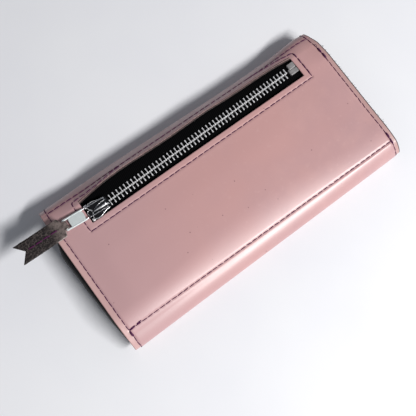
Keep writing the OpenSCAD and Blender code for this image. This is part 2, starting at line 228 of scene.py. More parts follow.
def cover_grid():
    """Rows of the outer cover from the front panel's free edge, round the bottom fold, over the
    back and down to half way round the top fold. Returns the points and the rows of the window's
    two long edges."""
    x = columns()
    rows = []

    def add(y, z):
        rows.append(np.column_stack([x, y + 0 * x, z + 0 * x]))

    edge_margin = 0.25 * ease((np.abs(x) - EDGE_SEAM_X) / 1.2) - groove(np.abs(x) - EDGE_SEAM_X, 0)
    for y in graded(FRONT_TOP_Y, BOTTOM_FOLD_Y, 46):
        add(y, FRONT_Z + edge_margin * (y < FLAP_END_Y - 0.5))
    back_low = back_z(x, BOTTOM_FOLD_Y) + back_grooves(x, BOTTOM_FOLD_Y)
    half = (back_low - FRONT_Z) / 2
    sag = 0.25 * np.sin(x / 31.0)
    for a in np.linspace(0, math.pi, 44)[:-1]:
        pinch = 1.0 - 0.05 * ease((np.abs(x) - EDGE_SEAM_X + 1.0) / 2.0)
        reach = (BOTTOM_FOLD_Y - BOTTOM_Y) * pinch - 0.1 + sag * 0.3
        out = math.sin(a) ** 0.92
        lean = 1.0 - 0.45 * out * (a > math.pi / 2)
        add(BOTTOM_FOLD_Y - reach * out, FRONT_Z + half * (1 - math.cos(a) * lean))
    seam = bottom_seam_y(x)
    spans = [(BOTTOM_FOLD_Y + 0 * x, seam, 7, 0.3), (seam, WINDOW_SEAM_Y + 0 * x, 56, 0.75),
             (WINDOW_SEAM_Y + 0 * x, WINDOW_LOW_Y + 0 * x, 9, 0.3),
             (WINDOW_LOW_Y + 0 * x, window_top_y(x), 16, 0.5),
             (window_top_y(x), FOLD_START_Y + 0 * x, 4, 0.0)]
    marks = []
    for low, high, count, grade in spans:
        marks.append(len(rows))
        above_window = (0.0, 0.13, 0.26, 0.5, 0.75)
        for t in graded(0.0, 1.0, count, grade) if grade else above_window:
            y = low + (high - low) * t
            add(y, back_z(x, y) + back_grooves(x, y))
    # The top fold is a superellipse from the back panel down to half the wallet's height
    top = back_z(x, FOLD_START_Y + 0 * x)
    for t in np.linspace(0, 1, 26):
        y, z = top_roll(x, top, t)
        add(y, z + (back_grooves(x, y) if t < 0.7 else groove(np.abs(x) - EDGE_SEAM_X, 0)))
    return rounded_corner(np.stack(rows)), marks[3], marks[4]


def flap_grid():
    """Rows of the flap from half way round the top fold down to its free edge, outer face down."""
    x = columns(90)
    rows = []
    for t in np.linspace(1, 0, 26):
        y, z = top_roll(x, 0.0, t, False)
        rows.append(np.column_stack([x, y, z]))
    corner = 14.0
    for y in graded(FOLD_START_Y, FLAP_END_Y, 60, 0.6)[1:].tolist() + [FLAP_END_Y]:
        # The free corners are round: the rows get shorter towards the free edge
        up = max(0.0, FLAP_END_Y + corner - y)
        half = HALF_L - corner + math.sqrt(max(corner ** 2 - up ** 2, 0.0))
        rows.append(np.column_stack([x * half / HALF_L, y + 0 * x, 0 * x]))
    grid = np.stack(rows)
    inset_x = HALF_L - np.abs(grid[..., 0])
    grid[..., 2] += 0.12 * (1 - ease(inset_x / 1.0))
    grid[..., 2] += 0.2 * np.exp(-(((inset_x - 3.5) / 0.5) ** 2))
    return rounded_corner(grid)


# ---- Mesh helpers ----


def make_mesh(name, points, faces, material_of=None, materials=(), smooth_angle=40):
    """A mesh object from points in millimetres."""
    mesh = bpy.data.meshes.new(name)
    mesh.from_pydata((np.asarray(points) * MM).tolist(), [], [list(map(int, f)) for f in faces])
    for material in materials:
        mesh.materials.append(material)
    if material_of is not None:
        mesh.polygons.foreach_set("material_index", np.asarray(material_of, dtype=np.int32))
    mesh.polygons.foreach_set("use_smooth", np.ones(len(mesh.polygons), dtype=bool))
    mesh.validate()
    mesh.update()
    mesh.set_sharp_from_angle(angle=math.radians(smooth_angle))
    piece = bpy.data.objects.new(name, mesh)
    bpy.context.scene.collection.objects.link(piece)
    return piece


def every_cell(grid):
    """All cells of a grid are kept."""
    return np.ones((grid.shape[0] - 1, grid.shape[1] - 1), dtype=bool)


def distances(path):
    """How far along a polyline each of its points is."""
    return np.concatenate([[0], np.cumsum(np.linalg.norm(np.diff(path, axis=0), axis=1))])


def interpolated(at, run, values):
    """Each column of values, known at the distances run, read at other distances."""
    return np.column_stack([np.interp(at, run, column) for column in values.T])


def grid_normals(grid):
    """Unit normals at a grid's points."""
    across = np.gradient(grid, axis=0)
    along = np.gradient(grid, axis=1)
    n = np.cross(along, across)
    return n / np.maximum(np.linalg.norm(n, axis=-1, keepdims=True), 1e-9)


def shell(name, grid, thickness, materials, drop=0.22, keep=None, kinds=None, wall=CUT):
    """A sheet with a thickness: outer face, inner face and cut edges. Cells not kept are holes.
    The materials are for the outer face, the cut edges and the inner face; kinds gives each outer
    cell's material if they differ, and wall the cut edges'."""
    rows, cols = grid.shape[:2]
    if keep is None:
        keep = every_cell(grid)
    normal = grid_normals(grid)
    edge = np.zeros((rows, cols), dtype=bool)
    open_cell = np.pad(~keep, 1, constant_values=True)
    for i in (0, 1):
        for j in (0, 1):
            edge |= open_cell[i:i + rows, j:j + cols]
    outer = grid - normal * (drop * edge)[..., None]
    inner = grid - normal * (thickness - drop * edge * 0.6)[..., None]
    points = np.concatenate([outer.reshape(-1, 3), inner.reshape(-1, 3)])
    index = np.arange(rows * cols).reshape(rows, cols)
    base = rows * cols
    a, b, c, d = index[:-1, :-1], index[:-1, 1:], index[1:, 1:], index[1:, :-1]
    top = np.stack([a, b, c, d], axis=-1)[keep]
    under = np.stack([d, c, b, a], axis=-1)[keep] + base
    walls = []
    for p, q, di, dj in ((a, b, -1, 0), (b, c, 0, 1), (c, d, 1, 0), (d, a, 0, -1)):
        beside = np.pad(keep, 1)[1 + di:rows + di, 1 + dj:cols + dj]
        rim = keep & ~beside
        walls.append(np.stack([q[rim], p[rim], p[rim] + base, q[rim] + base], axis=-1))
    walls = np.concatenate(walls)
    faces = np.concatenate([top, under, walls])
    if kinds is None:
        kinds = np.zeros(keep.shape, dtype=int)
    kinds = np.concatenate([kinds[keep], np.full(len(under), INNER), np.full(len(walls), wall)])
    piece = make_mesh(name, points, faces, kinds, materials)
    return piece


def band(first, second, sides):
    """Faces between two closed rings of points, from the index of each ring's first point."""
    for j in range(sides):
        k = (j + 1) % sides
        yield first + j, first + k, second + k, second + j


def tube(path, radius, sides=8, closed=False, up=(0, 0, 1)):
    """Points and faces of a tube along a path; the radius may vary."""
    path = np.asarray(path, dtype=float)
    radius = np.broadcast_to(radius, len(path))
    tangent = np.roll(path, -1, 0) - np.roll(path, 1, 0) if closed else np.gradient(path, axis=0)
    tangent /= np.linalg.norm(tangent, axis=1, keepdims=True)
    side = np.cross(tangent, up)
    side /= np.maximum(np.linalg.norm(side, axis=1, keepdims=True), 1e-9)
    over = np.cross(side, tangent)
    angle = np.arange(sides) * 2 * math.pi / sides
    ring = (np.cos(angle)[None, :, None] * side[:, None, :]
            + np.sin(angle)[None, :, None] * over[:, None, :])
    points = path[:, None, :] + ring * radius[:, None, None]
    n = len(path)
    faces = []
    for i in range(n if closed else n - 1):
        for a, b, c, d in band(i * sides, (i + 1) % n * sides, sides):
            faces.append((a, d, c, b))
    if not closed:
        faces.append(tuple(range(sides)))
        faces.append(tuple((n - 1) * sides + j for j in reversed(range(sides))))
    return points.reshape(-1, 3), faces


def joined(parts):
    """Several (points, faces) pairs as one."""
    points, faces, offset = [], [], 0
    for p, f in parts:
        points.append(np.asarray(p, dtype=float))
        faces.extend(tuple(i + offset for i in face) for face in f)
        offset += len(p)
    return np.concatenate(points), faces


def turned(points, centre, angle):
    """Points turned about Z and moved to a centre."""
    c, s = math.cos(angle), math.sin(angle)
    p = np.asarray(points, dtype=float)
    x, y, z = p.T
    return np.column_stack([c * x - s * y, s * x + c * y, z]) + centre


def on_zip(points):
    """From the zip's own axes (s along, t across) to the wallet's."""
    return turned(points, [0.0, ZIP_Y, 0.0], ZIP_TILT)


PIVOT = on_zip([[PIVOT_S, 0.0, PIVOT_Z]])[0]
PULLER_ANGLE = math.pi - PULLER_SKEW
LOOP = turned([[PULLER_L, 0.0, 0.0]], PIVOT, PULLER_ANGLE)[0]


def slab_mesh(outline, z0, z1, bevel=0.15, dome=0.0):
    """A plate from an outline, with bevelled rims and a domed top."""
    outline = np.asarray(outline, dtype=float)
    centre = outline.mean(axis=0)
    n = len(outline)

    def shrunk(by):
        ahead = np.roll(outline, -1, 0) - np.roll(outline, 1, 0)
        out = np.column_stack([ahead[:, 1], -ahead[:, 0]])
        out /= np.maximum(np.linalg.norm(out, axis=1, keepdims=True), 1e-9)
        return outline - out * by

    small = shrunk(bevel)
    rings = [(small, z0), (outline, z0 + bevel), (outline, z1 - bevel), (small, z1)]
    points = [np.column_stack([ring, np.full(n, z)]) for ring, z in rings]
    points.append(np.array([[centre[0], centre[1], z0], [centre[0], centre[1], z1 + dome]]))
    faces = []
    for k in range(3):
        faces += band(k * n, (k + 1) * n, n)
    for i in range(n):
        j = (i + 1) % n
        faces.append((j, i, 4 * n))
        faces.append((3 * n + i, 3 * n + j, 4 * n + 1))
    return np.concatenate(points), faces


def smooth_outline(corners, count=90, passes=2):
    """A closed outline through corners, cut round by Chaikin's rule and spaced evenly."""
    p = np.asarray(corners, dtype=float)
    for _ in range(passes):
        q = np.roll(p, -1, 0)
        p = np.stack([0.75 * p + 0.25 * q, 0.25 * p + 0.75 * q], axis=1).reshape(-1, 2)
    loop = np.vstack([p, p[:1]])
    run = distances(loop)
    at = np.linspace(0, run[-1], count, endpoint=False)
    return interpolated(at, run, loop)


# ---- Materials ----


class Look:
    """A procedural material, built step by step on the piece's own coordinates."""

    def __init__(self, name, color, roughness, metallic=0.0, **fixed):
        self.material = bpy.data.materials.new(name)
        self.material.use_nodes = True
        self.tree = self.material.node_tree
        self.shader = self.tree.nodes["Principled BSDF"]
        self.shader.inputs["Base Color"].default_value = (*color, 1.0)
        self.shader.inputs["Roughness"].default_value = roughness
        self.shader.inputs["Metallic"].default_value = metallic
        for socket, value in fixed.items():
            self.shader.inputs[socket.replace("_", " ")].default_value = value
        self.place = self.tree.nodes.new("ShaderNodeTexCoord").outputs["Object"]
        self.color = None
        self.bump = None

    def node(self, kind, **values):
        node = self.tree.nodes.new(kind)
        for key, value in values.items():
            if hasattr(node, key):
                setattr(node, key, value)
            else:
                node.inputs[key.replace("_", " ")].default_value = value
        return node

    def link(self, out, socket):
        self.tree.links.new(out, socket)

    def noise(self, per_m, detail=3.0, stretch=None, distortion=0.0):
        """Noise with about per_m features in a metre."""
        texture = self.node("ShaderNodeTexNoise", Scale=per_m, Detail=detail, Roughness=0.55,
                            Distortion=distortion)
        place = self.place
        if stretch:
            mapping = self.node("ShaderNodeMapping", Scale=stretch)
            self.link(place, mapping.inputs["Vector"])
            place = mapping.outputs["Vector"]
        self.link(place, texture.inputs["Vector"])
        return texture.outputs["Fac"]

    def cells(self, per_m, feature="F1"):
        texture = self.node("ShaderNodeTexVoronoi", feature=feature, Scale=per_m)
        self.link(self.place, texture.inputs["Vector"])
        return texture.outputs["Distance"]

    def waves(self, per_m, turn=(0.0, 0.0, 0.0)):
        mapping = self.node("ShaderNodeMapping", Rotation=turn)
        self.link(self.place, mapping.inputs["Vector"])
        texture = self.node("ShaderNodeTexWave", Scale=per_m, Distortion=0.0)
        self.link(mapping.outputs["Vector"], texture.inputs["Vector"])
        return texture.outputs["Fac"]

    def along(self, axis, low, high):
        """0 to 1 between two places along an axis, in millimetres."""
        split = self.node("ShaderNodeSeparateXYZ")
        self.link(self.place, split.inputs["Vector"])
        ramp = self.node("ShaderNodeMapRange", From_Min=low * MM, From_Max=high * MM)
        ramp.interpolation_type = "SMOOTHSTEP"
        self.link(split.outputs[axis], ramp.inputs["Value"])
        return ramp.outputs["Result"]

    def steps(self, value, low, high, to=(0.0, 1.0)):
        """Rescales a value between low and high to a new range."""
        ramp = self.node("ShaderNodeMapRange", From_Min=low, From_Max=high, To_Min=to[0],
                         To_Max=to[1])
        self.link(value, ramp.inputs["Value"])
        return ramp.outputs["Result"]

    def times(self, a, b):
        node = self.node("ShaderNodeMath", operation="MULTIPLY")
        self.link(a, node.inputs[0])
        self.link(b, node.inputs[1])
        return node.outputs[0]

    def tint(self, color, share):
        """Mixes a colour over what is there, by a share from 0 to 1."""
        mix = self.node("ShaderNodeMix", data_type="RGBA")
        colors = [s for s in mix.inputs if s.type == "RGBA"]
        colors[1].default_value = (*color, 1.0)
        if self.color is None:
            colors[0].default_value = self.shader.inputs["Base Color"].default_value
        else:
            self.link(self.color, colors[0])
        self.link(share, mix.inputs["Factor"])
        self.color = [s for s in mix.outputs if s.type == "RGBA"][0]
        self.link(self.color, self.shader.inputs["Base Color"])
        return self

    def patches(self, color, per_m, detail, low, high, share):
        """Tints where noise rises from low to high."""
        return self.tint(color, self.steps(self.noise(per_m, detail), low, high, (0.0, share)))

    def rough(self, value, low, high):
        self.link(self.steps(value, 0.25, 0.75, (low, high)), self.shader.inputs["Roughness"])
        return self

    def raise_by(self, value, height_mm, strength=1.0):
        """Adds relief of a height to the surface."""
        bump = self.node("ShaderNodeBump", Strength=strength, Distance=height_mm * MM)
        self.link(value, bump.inputs["Height"])
        if self.bump is not None:
            self.link(self.bump, bump.inputs["Normal"])
        self.bump = bump.outputs["Normal"]
        self.link(self.bump, self.shader.inputs["Normal"])
        return self


def pink_leather():
    look = Look("pink_leather", (0.545, 0.310, 0.300), 0.36, Coat_Weight=0.6,
                Coat_Roughness=0.34, Specular_IOR_Level=0.5)
    look.patches((0.455, 0.275, 0.285), 16, 2, 0.42, 0.68, 0.75)
    look.patches((0.62, 0.36, 0.335), 34, 4, 0.55, 0.8, 0.5)
    look.patches((0.66, 0.44, 0.42), 420, 5, 0.6, 0.85, 0.35)
    # Painted shade and sheen: towards the left end the leather is tinted darker and bluer, for the
    # dimmer light and a bluish sheen there.
    look.tint((0.498, 0.306, 0.313), look.along("X", 10, -95))
    # Painted light: the margin outside the left edge seam is tinted lighter, a painted highlight
    # on its raised edge, and the margin outside the right edge seam darker, painted shade.
    look.tint((0.565, 0.355, 0.345), look.along("X", -91.2, -92.4))
    look.tint((0.47, 0.29, 0.275), look.along("X", 91.6, 92.8))
    # Painted shade: the strip between the window and the top fold is tinted darker, as it falls
    # away from the light.
    look.tint((0.36, 0.205, 0.21), look.along("Y", 36.0, 43.0))
    look.tint((0.20, 0.10, 0.11), look.steps(look.cells(130), 0.06, 0.03, (0.0, 0.8)))
    look.rough(look.noise(55, 4), 0.33, 0.43)
    look.raise_by(look.noise(1700, 3), 0.03)
    look.raise_by(look.cells(2300, "SMOOTH_F1"), 0.02, 0.6)
    look.raise_by(look.noise(140, 3, distortion=0.4), 0.06, 0.5)
    return look.material


def dark_edge():
    # Dark leather edges; the same material also paints the shade in the crease above the window.
    look = Look("leather_burnished_edge", (0.030, 0.018, 0.018), 0.8)
    look.patches((0.10, 0.06, 0.06), 500, 4, 0.45, 0.75, 0.8)
    look.raise_by(look.noise(2500, 4), 0.08)
    return look.material


def cut_edge():
    look = Look("leather_cut_edge", (0.30, 0.19, 0.18), 0.75)
    look.patches((0.50, 0.32, 0.30), 900, 4, 0.45, 0.7, 0.8)
    look.patches((0.10, 0.06, 0.06), 300, 3, 0.6, 0.8, 0.7)
    look.raise_by(look.noise(2500, 4), 0.12)
    return look.material


def lining_cloth():
    color = (0.012, 0.012, 0.013)
    threads_per_m = 1900.0 / 6.3
    look = Look("black_lining_cloth", color, 0.85, Sheen_Weight=0.25, Sheen_Roughness=0.5)
    warp = look.waves(threads_per_m)
    weft = look.waves(threads_per_m, (0.0, 0.0, math.pi / 2))
    weave = look.times(warp, weft)
    look.tint((0.028, 0.028, 0.031), look.steps(weave, 0.2, 0.9, (0.0, 0.7)))
    look.tint(tuple(c * 0.5 for c in color), look.steps(look.noise(60, 3), 0.5, 0.8, (0.0, 0.5)))
    look.raise_by(weave, 0.08)
    look.raise_by(look.noise(3000, 2), 0.03)
    return look.material


def zip_tape_cloth():
    look = Look("zip_tape_twill", (0.0013, 0.0013, 0.0015), 0.92, Specular_IOR_Level=0.03)
    twill = look.waves(330, (0.0, 0.0, math.radians(62)))
    ribs = look.waves(150, (0.0, 0.0, math.radians(91)))
    look.tint((0.0042, 0.0042, 0.0048), look.steps(twill, 0.4, 1.0, (0.0, 0.8)))
    look.raise_by(twill, 0.09)
    look.raise_by(ribs, 0.05, 0.6)
    look.raise_by(look.noise(2600, 3), 0.03)
    return look.material


def gusset_leather():
    look = Look("black_leather", (0.004, 0.004, 0.0045), 0.55, Specular_IOR_Level=0.3)
    look.patches((0.010, 0.010, 0.011), 220, 4, 0.5, 0.75, 0.8)
    look.raise_by(look.cells(1500, "SMOOTH_F1"), 0.05)
    look.raise_by(look.noise(120, 3), 0.15, 0.5)
    return look.material


def metal(name, color, roughness, scratch=0.35, metallic=1.0):
    look = Look(name, color, roughness, metallic=metallic)
    stain = look.steps(look.noise(260, 4), 0.55, 0.8, (0.0, 0.6))
    look.tint(tuple(c * 0.55 for c in color), stain)
    streak = look.noise(500, 4, stretch=(1.0, 9.0, 1.0))
    look.rough(streak, roughness * 0.75, roughness * 1.5)
    look.raise_by(streak, 0.012, scratch)
    return look.material


def tab_leather():
    look = Look("pebbled_leather", (0.0115, 0.0075, 0.0078), 0.7, Specular_IOR_Level=0.3,
                Sheen_Weight=0.06, Sheen_Roughness=0.5)
    pebble = look.cells(1050, "SMOOTH_F1")
    creases = look.cells(620, "DISTANCE_TO_EDGE")
    look.tint((0.10, 0.082, 0.076), look.steps(creases, 0.09, 0.0, (0.0, 0.8)))
    look.patches((0.12, 0.10, 0.095), 900, 5, 0.55, 0.7, 0.6)
    look.patches((0.006, 0.004, 0.0045), 650, 4, 0.5, 0.6, 0.9)
    suede = look.times(look.along("X", -97, -89), look.steps(look.noise(500, 5), 0.3, 0.6))
    look.tint((0.17, 0.135, 0.125), suede)
    look.raise_by(pebble, 0.16)
    look.raise_by(look.noise(2600, 4), 0.07)
    return look.material


def tab_edge():
    look = Look("tab_leather_edge", (0.020, 0.014, 0.013), 0.8)
    look.patches((0.30, 0.26, 0.24), 1500, 4, 0.6, 0.8, 0.5)
    frayed = look.times(look.along("X", -97, -92), look.steps(look.noise(700, 4), 0.35, 0.6))
    look.tint((0.55, 0.49, 0.46), frayed)
    look.raise_by(look.noise(2500, 4), 0.1)
    return look.material


def thread():
    look = Look("plum_thread", (0.058, 0.005, 0.046), 0.65, Specular_IOR_Level=0.25)
    twist = look.waves(420, (0.0, 0.0, math.radians(38)))
    look.tint((0.115, 0.014, 0.088), look.steps(twist, 0.45, 1.0, (0.0, 0.5)))
    look.patches((0.022, 0.003, 0.018), 700, 3, 0.5, 0.8, 0.6)
    look.raise_by(twist, 0.06)
    return look.material


PINK = pink_leather()
EDGE = cut_edge()
DARK_EDGE = dark_edge()
LINING = lining_cloth()
TAPE = zip_tape_cloth()
BLACK = gusset_leather()
TEETH = metal("zip_teeth_metal", (0.96, 0.96, 0.97), 0.3, metallic=0.5)
STOP = metal("zip_stop_metal", (0.44, 0.43, 0.43), 0.5, 0.6)
CHROME = metal("slider_chrome", (0.88, 0.89, 0.90), 0.25, 0.06, metallic=0.75)
# Painted reflection: the slider's plates, tongue and bridge top get this dark copy of the chrome,
# standing for the dark room reflected in their flat faces; the rims stay bright CHROME.
CHROME_PAINTED_DARK = metal("slider_chrome_painted_dark", (0.10, 0.10, 0.11), 0.2, 0.05)
RAIL = metal("puller_rail_chrome", (0.55, 0.56, 0.58), 0.2, 0.05)
PLATE = metal("puller_satin", (0.68, 0.74, 0.745), 0.42, 0.5, metallic=0.35)
SNAP = metal("snap_metal", (0.62, 0.63, 0.65), 0.3)
TAB = tab_leather()
TAB_EDGE = tab_edge()
THREAD = thread()


def place(piece, body, slot, *nodes):
    """Rides a piece on its body, or only bakes its transform when given a bend, and hides the CAD
    nodes it stands for. Its slot is not used.
    """
    if isinstance(body, str):
        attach(piece, body)
    else:
        bend(piece, *body)
    if nodes:
        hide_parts(*nodes)
    return piece


def place_parts(name, parts, material, angle, body, slot, *nodes):
    """Several (points, faces) pairs as one placed piece; edges sharper than angle stay sharp."""
    return place(make_mesh(name, *joined(parts), None, [material], angle), body, slot, *nodes)


UPPER_BEND = ("wallet_body", "flap_fold", HINGE_Y, TOP_Y, TOP_Z)
LOWER_BEND = ("flap_fold", "flap", TOP_Y, HINGE_Y, 0.0)


def bend(piece, first, second, start_y, end_y, z):
    """Bakes a piece's transform into its mesh. The two bodies and the two places along Y are not
    used.
    """
    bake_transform(piece)


# ---- Outer cover and flap ----


def worn_ends(keep):
    """The outermost column of leather at each end shows the cut edge."""
    kinds = np.zeros(keep.shape, dtype=int)
    kinds[:, [0, -1]] = CUT
    return kinds


cover, window_low_row, window_top_row = cover_grid()
kept = every_cell(cover)
cover_x = cover[0, :, 0]
in_window = (cover_x[:-1] > -WINDOW_X - 0.01) & (cover_x[1:] < WINDOW_X + 0.01)
kept[window_low_row:window_top_row, in_window] = False
kinds = worn_ends(kept)
kinds[window_top_row, in_window] = CUT
# Painted shade: the row above the window's cut edge takes the dark edge material, for the dark
# line in the crease there.
kinds[window_top_row + 1, in_window] = DARK_EDGE_AND_SHADE
kinds[PAST_FRONT_ROW:, -2:] = DARK_EDGE_AND_SHADE
place(shell("cover_leather", cover, LEATHER_T, [PINK, EDGE, LINING, DARK_EDGE], keep=kept,
            kinds=kinds, wall=DARK_EDGE_AND_SHADE),
      UPPER_BEND, "pink_leather", "outer_cover")

flap = flap_grid()
place(shell("flap_leather_skin", flap, LEATHER_T, [PINK, EDGE, LINING],
            kinds=worn_ends(every_cell(flap))),
      LOWER_BEND, "pink_leather", "flap_leather", "flap_fold_leather")


# ---- Linings and pockets ----


def lined(name, grid, body, node):
    """A layer of lining that follows a leather grid on its inner side."""
    inner = grid - grid_normals(grid) * (LEATHER_T + 0.02)
    place(shell(name, inner, 0.35, [LINING] * 3, 0.05), body,
          "black_lining", node)


inside = slice(10, -10)
fold_rows = slice(window_top_row + 4, None)
lined("fold_lining_cloth", cover[fold_rows, inside], UPPER_BEND,
      "flap_fold_lining")
lined("flap_lining_cloth", flap[:-2, inside], LOWER_BEND, "flap_lining")


def cloth_plate(name, node, wave, holes=None):
    """A thin cloth panel in its CAD solid's place, with slight waves and soft edges."""
    low, high = node_box(node)
    x = np.linspace(low[0], high[0], 90)
    y = np.linspace(low[1], high[1], 44)
    gx, gy = np.meshgrid(x, y)
    gz = high[2] - 0.02 + wave * np.sin(gx / 13.0 + low[2]) * np.sin(gy / 9.0)
    gz = np.minimum(gz, under_cover(gx, gy, 0.6))
    keep = every_cell(gx)
    if holes is not None:
        cx, cy = (x[:-1] + x[1:]) / 2, (y[:-1] + y[1:]) / 2
        keep &= ~holes(*np.meshgrid(cx, cy))
    grid = np.stack([gx, gy, gz], axis=-1)
    piece = shell(name, grid, (high[2] - low[2]) * 0.9, [LINING] * 3, 0.06, keep)
    place(piece, "wallet_body", "black_lining", node)


SNAP_AT = (np.add(*node_box("snap_socket")) / 2)[:2]
SNAP_HOLE_R = 7.5


def at_snap(x, y):
    return np.hypot(x - SNAP_AT[0], y - SNAP_AT[1]) < SNAP_HOLE_R


def in_mouth(x, y):
    return (np.abs(x) < 76) & (y > 22.2) & (y < 39.2)


cloth_plate("front_lining_cloth", "front_lining", 0.03, at_snap)
cloth_plate("divider_cloth", "pocket_divider", 0.02)
cloth_plate("bag_inner_cloth", "coin_bag_inner_panel", 0.03)
cloth_plate("bag_outer_cloth", "coin_bag_outer_panel", 0.02, in_mouth)


def bag_sides():
    """The strip between the bag's two panels, round all four sides."""
    low, high = node_box("coin_bag_side_strip")
    corners = np.array([low[:2], [high[0], low[1]], high[:2], [low[0], high[1]], low[:2]])
    run = distances(corners)
    at = np.linspace(0, run[-1], 260)
    x, y = np.interp(at, run, corners[:, 0]), np.interp(at, run, corners[:, 1])
    rows = []
    for t in np.linspace(0, 1, 12):
        fold = 0.5 * math.sin(math.pi * t) * (1 + 0.3 * np.sin(at / 4.0))
        inward = np.stack([-np.sign(x) * (np.abs(x) > high[0] - 0.1),
                           -np.sign(y) * (np.abs(y - (low[1] + high[1]) / 2)
                                          > (high[1] - low[1]) / 2 - 0.1)], axis=1)
        top = np.minimum(high[2] - 0.05, under_cover(x, y, 1.05))
        z = low[2] + 0.05 + (top - low[2] - 0.05) * t
        rows.append(np.column_stack([x + inward[:, 0] * fold, y + inward[:, 1] * fold, z]))
    grid = np.stack(rows)
    place(shell("bag_side_cloth", grid, 0.3, [LINING] * 3, 0.0),
          "wallet_body", "black_lining", "coin_bag_side_strip")


bag_sides()


def card_row(number):
    """Two card pockets side by side, each with a thumb cut in its upper edge."""
    node = f"card_slot_row_{number}"
    low, high = node_box(node)
    parts = []
    for x0, x1 in ((low[0], -1.5), (1.5, high[0])):
        x = np.linspace(x0, x1, 60)
        rows = []
        for t in np.linspace(0, 1, 26):
            thumb = 1.6 * np.exp(-(((x - (x0 + x1) / 2) / 9.0) ** 4)) * t ** 3
            y = low[1] + (high[1] - low[1]) * t - thumb
            bulge = 0.05 * np.sin((x - x0) / (x1 - x0) * math.pi) * t
            rows.append(np.column_stack([x, y, low[2] + 0.02 - bulge]))
        parts.append(np.stack(rows)[::-1])
    for side, grid in zip(("left", "right"), parts):
        piece = shell(f"card_pocket_{number}_{side}", grid, 0.27, [LINING] * 3, 0.05)
        place(piece, "wallet_body", "black_lining", *([node] if side == "left" else []))


for row_number in (1, 2, 3):
    card_row(row_number)


# ---- Side gussets ----

GUSSET_LOW, GUSSET_HIGH = node_box("gusset_right")
GUSSET_PEAK_Y = 15.0
GUSSET_SLACK = {-1: 1.3, 1: 0.8}


def gusset_bulge(y):
    full = GUSSET_HIGH[0] - HALF_L
    above = 1 - 0.92 * ease((y - GUSSET_PEAK_Y - 2.0) / 15.0)
    below = 0.1 + 0.9 * ((y - GUSSET_LOW[1]) / (GUSSET_PEAK_Y - GUSSET_LOW[1])) ** 0.5
    return full * (above if y > GUSSET_PEAK_Y else below)


def gusset(name, side, node):
    """One pleat of soft leather between the front and the back, creased along its middle."""
    rows = []
    for y in np.linspace(GUSSET_LOW[1], GUSSET_HIGH[1], 80):
        ceiling = under_cover(side * np.array([88.0, EDGE_SEAM_X, 94.5]), y)
        top = min(GUSSET_HIGH[2], float(np.min(ceiling)))
        half = (top - GUSSET_LOW[2]) / 2
        middle = GUSSET_LOW[2] + half
        a = np.linspace(0, math.pi, 34)
        crumple = 0.14 * math.sin(y / 3.1) + 0.10 * math.sin(y / 1.7 + 1.0)
        pleat = 1.0 - 0.2 * np.exp(-(((a - math.pi / 2) / 0.3) ** 2))
        reach = GUSSET_SLACK[side] * gusset_bulge(y) * np.sin(a) ** 0.8 * pleat
        reach = reach + crumple * np.sin(a) * np.cos(2 * a)
        x = HALF_L - 0.75 + 0.45 * (side < 0) + reach
        z = middle - (half - 0.1) * np.cos(a)
        x = np.concatenate([[GUSSET_LOW[0]], x, [GUSSET_LOW[0]]])
        z = np.concatenate([[z[0]], z, [z[-1]]])
        rows.append(np.column_stack([side * x, np.full(len(x), y), z]))
    grid = np.stack(rows if side < 0 else rows[::-1])
    place(shell(name, grid, 0.5, [BLACK] * 3, 0.04),
          "wallet_body", "gusset_leather", node)


gusset("gusset_left_pleat", -1, "gusset_left")
gusset("gusset_right_pleat", 1, "gusset_right")


# ---- Zip ----


def parting(s):
    """How far a tape's edge stands off where the chain parts in front of the slider."""
    free = s <= TAPE_FREE_S
    return 0.3 * np.maximum(0.0, PIVOT_S - s) * ~free + TAPE_FREE_GAP * free


def zip_side(side, word):
    """One tape and its teeth. In front of the slider, both lean away from the other side."""
    s = np.linspace(-82, 82, 180)
    rows = []
    for t in np.linspace(0, 1, 16):
        edge = side * (1.0 + parting(s))
        outer = (41.0 if side > 0 else 18.4) - ZIP_Y
        across = edge + (outer - edge) * t
        cord = 0.35 * math.exp(-((t / 0.09) ** 2))
        z = TAPE_Z - 0.08 + cord * 0.4 + 0.05 * np.sin(s / 9.0 + side) * t
        row = on_zip(np.column_stack([s, across, z]))
        row[:, 2] = np.minimum(row[:, 2], under_cover(row[:, 0], row[:, 1]))
        rows.append(row)
    grid = np.stack(rows if side > 0 else rows[::-1])
    tape = shell(f"zip_tape_{word}_cloth", grid, 0.42, [TAPE] * 3, 0.08)
    place(tape, "wallet_body", "zip_tape", f"zip_tape_{word}")

    low, high = 14.1, 16.6
    head = [(-0.36, 0.36), (-0.24, 0.56), (0.06, 0.56), (0.2, 0.34), (0.5, 0.13), (1.0, 0.15),
            (1.8, 0.28), (2.5, 0.37), (2.85, 0.32), (2.95, 0.2)]
    outline = [(w, t) for t, w in head] + [(-w, t) for t, w in reversed(head)]
    tooth = slab_mesh(outline, low, high - 0.35, 0.17, 0.2)
    nib = slab_mesh([(0.1, -0.4), (0.1, 0.15), (-0.1, 0.15), (-0.1, -0.4)], high - 0.45,
                    high - 0.12, 0.06)
    parts = []
    for i in range(56):
        at = 66.5 - (i + (0.5 if side < 0 else 0.0)) * TOOTH_PITCH
        if at < -68.5:
            continue
        for points, faces in (tooth, nib):
            wobble = RNG.normal(0, 0.025, 3)
            p = turned(points, [0, 0, 0], RNG.normal(0, 0.012))
            p = p * [1, side, 1]
            p = p + [at + wobble[0], side * float(parting(np.array(at))) + wobble[1], wobble[2]]
            parts.append((on_zip(p), faces if side > 0 else [f[::-1] for f in faces]))
    teeth = place_parts(f"zip_teeth_{word}_metal", parts, TEETH, 35, "wallet_body", "zip_metal",
                        f"zip_teeth_{word}")

    for piece in (tape, teeth):
        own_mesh(piece)


zip_side(1, "upper")
zip_side(-1, "lower")


